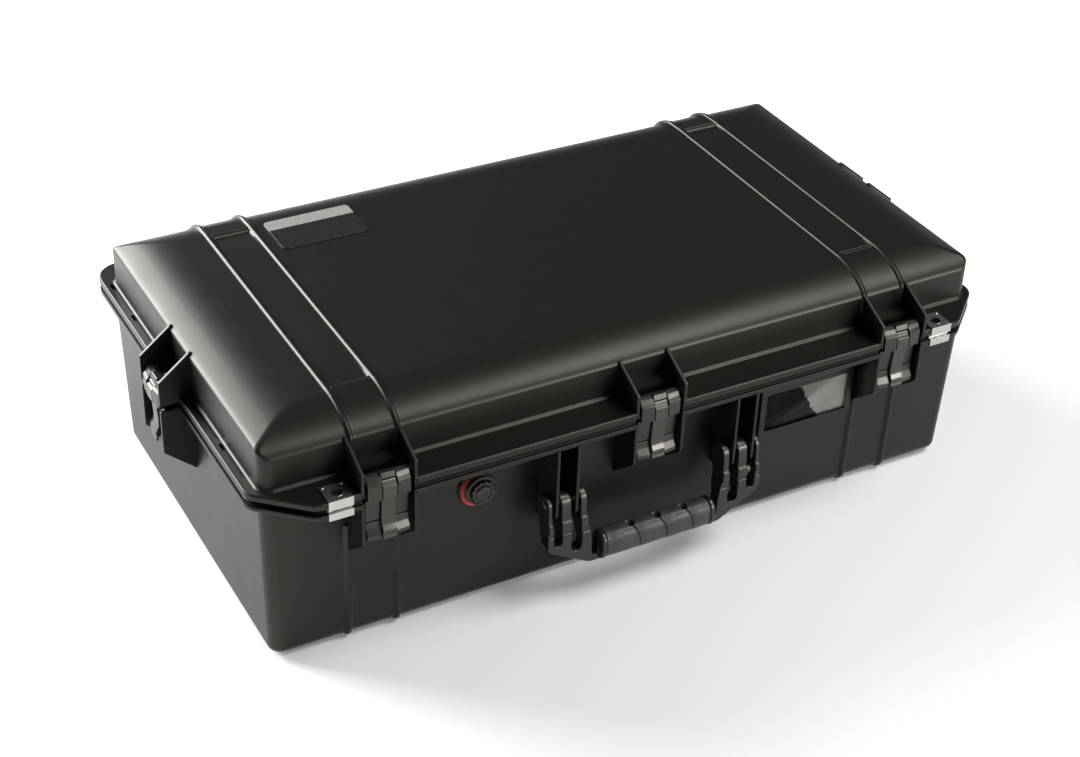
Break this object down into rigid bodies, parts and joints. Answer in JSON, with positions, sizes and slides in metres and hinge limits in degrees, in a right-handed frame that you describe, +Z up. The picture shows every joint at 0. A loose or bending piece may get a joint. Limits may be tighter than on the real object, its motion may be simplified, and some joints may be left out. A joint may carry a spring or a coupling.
{
  "type": "hard-shell drone carrying case",
  "caption": "Long black hard-shell case with a domed hinged lid, press-and-pull latches, drop handle, pressure valve, padlock eyes and fitted foam for a drone.",
  "frame": {"origin": "on the floor under the centre of the whole case, lid closed and handle hanging", "axes": "+Z up, +X along the length to the right as seen from the handle, -Y towards the handle and the front latches"},
  "size_m": [0.7298, 0.44, 0.2201],
  "materials": {
    "shell_plastic": "fine moulded grain",
    "latch_plastic": "satin, smoother than the shell",
    "trigger_plastic": "satin, smoother than the shell",
    "steel": "brushed",
    "seal_rubber": "matt",
    "red_rubber": "matt",
    "grip_rubber": "soft matt",
    "foam": "open-cell foam",
    "clear_window": "clear plastic sheet",
    "card": "plain dark card",
    "label": "blank printed plate"
  },
  "bodies": {
    "base": {"base_shell": "shell_plastic", "base_foam": "foam", "floor_pad": "foam", "hinge_pin_left": "steel", "hinge_pin_right": "steel", "handle_pin_left": "steel", "handle_pin_right": "steel", "valve_housing": "latch_plastic", "valve_nut": "latch_plastic", "valve_seal": "red_rubber", "padlock_plate_base_left": "steel", "padlock_plate_base_right": "steel", "card_frame": "shell_plastic", "card_window": "clear_window", "name_card": "card"},
    "lid": {"lid_shell": "shell_plastic", "lid_gasket": "seal_rubber", "lid_foam": "foam", "padlock_plate_lid_left": "steel", "padlock_plate_lid_right": "steel", "label_plate": "label", "latch_pins": "steel"},
    "handle": {"handle_frame": "latch_plastic", "handle_grip": "grip_rubber"},
    "valve_knob": {"valve_cap": "latch_plastic"},
    "latch_front_left": {"latch_front_left": "latch_plastic", "trigger_pin_front_left": "steel", "spring_front_left": "steel"},
    "trigger_front_left": {"trigger_front_left": "trigger_plastic"},
    "latch_front_centre": {"latch_front_centre": "latch_plastic", "trigger_pin_front_centre": "steel", "spring_front_centre": "steel"},
    "trigger_front_centre": {"trigger_front_centre": "trigger_plastic"},
    "latch_front_right": {"latch_front_right": "latch_plastic", "trigger_pin_front_right": "steel", "spring_front_right": "steel"},
    "trigger_front_right": {"trigger_front_right": "trigger_plastic"},
    "latch_side_left": {"latch_side_left": "latch_plastic", "trigger_pin_side_left": "steel", "spring_side_left": "steel"},
    "trigger_side_left": {"trigger_side_left": "trigger_plastic"},
    "latch_side_right": {"latch_side_right": "latch_plastic", "trigger_pin_side_right": "steel", "spring_side_right": "steel"},
    "trigger_side_right": {"trigger_side_right": "trigger_plastic"}
  },
  "joints": [
    {"name": "lid_hinge", "type": "hinge", "parent": "base", "child": "lid", "pos_m": [0, 0.212, 0.16185], "axis": [-1, 0, 0], "range_deg": [0, 105]},
    {"name": "handle_swing", "type": "hinge", "parent": "base", "child": "handle", "pos_m": [0, -0.199, 0.0981], "axis": [-1, 0, 0], "range_deg": [0, 105]},
    {"name": "valve_turn", "type": "hinge", "parent": "base", "child": "valve_knob", "pos_m": [-0.1525, -0.185, 0.1201], "axis": [0, -1, 0], "range_deg": [0, 90]},
    {"name": "latch_front_left_swing", "type": "hinge", "parent": "lid", "child": "latch_front_left", "pos_m": [-0.2443, -0.196, 0.1741], "axis": [-1, 0, 0], "range_deg": [0, 100]},
    {"name": "trigger_front_left_pull", "type": "hinge", "parent": "latch_front_left", "child": "trigger_front_left", "pos_m": [-0.2443, -0.2025, 0.1701], "axis": [-1, 0, 0], "range_deg": [0, 10], "stiffness_Nm_per_rad": 0.3},
    {"name": "latch_front_centre_swing", "type": "hinge", "parent": "lid", "child": "latch_front_centre", "pos_m": [0, -0.196, 0.1741], "axis": [-1, 0, 0], "range_deg": [0, 100]},
    {"name": "trigger_front_centre_pull", "type": "hinge", "parent": "latch_front_centre", "child": "trigger_front_centre", "pos_m": [0, -0.2025, 0.1701], "axis": [-1, 0, 0], "range_deg": [0, 10], "stiffness_Nm_per_rad": 0.3},
    {"name": "latch_front_right_swing", "type": "hinge", "parent": "lid", "child": "latch_front_right", "pos_m": [0.2443, -0.196, 0.1741], "axis": [-1, 0, 0], "range_deg": [0, 100]},
    {"name": "trigger_front_right_pull", "type": "hinge", "parent": "latch_front_right", "child": "trigger_front_right", "pos_m": [0.2443, -0.2025, 0.1701], "axis": [-1, 0, 0], "range_deg": [0, 10], "stiffness_Nm_per_rad": 0.3},
    {"name": "latch_side_left_swing", "type": "hinge", "parent": "lid", "child": "latch_side_left", "pos_m": [-0.353, 0, 0.1741], "axis": [0, 1, 0], "range_deg": [0, 100]},
    {"name": "trigger_side_left_pull", "type": "hinge", "parent": "latch_side_left", "child": "trigger_side_left", "pos_m": [-0.3595, 0, 0.1701], "axis": [0, 1, 0], "range_deg": [0, 10], "stiffness_Nm_per_rad": 0.3},
    {"name": "latch_side_right_swing", "type": "hinge", "parent": "lid", "child": "latch_side_right", "pos_m": [0.353, 0, 0.1741], "axis": [0, -1, 0], "range_deg": [0, 100]},
    {"name": "trigger_side_right_pull", "type": "hinge", "parent": "latch_side_right", "child": "trigger_side_right", "pos_m": [0.3595, 0, 0.1701], "axis": [0, -1, 0], "range_deg": [0, 10], "stiffness_Nm_per_rad": 0.3}
  ]
}
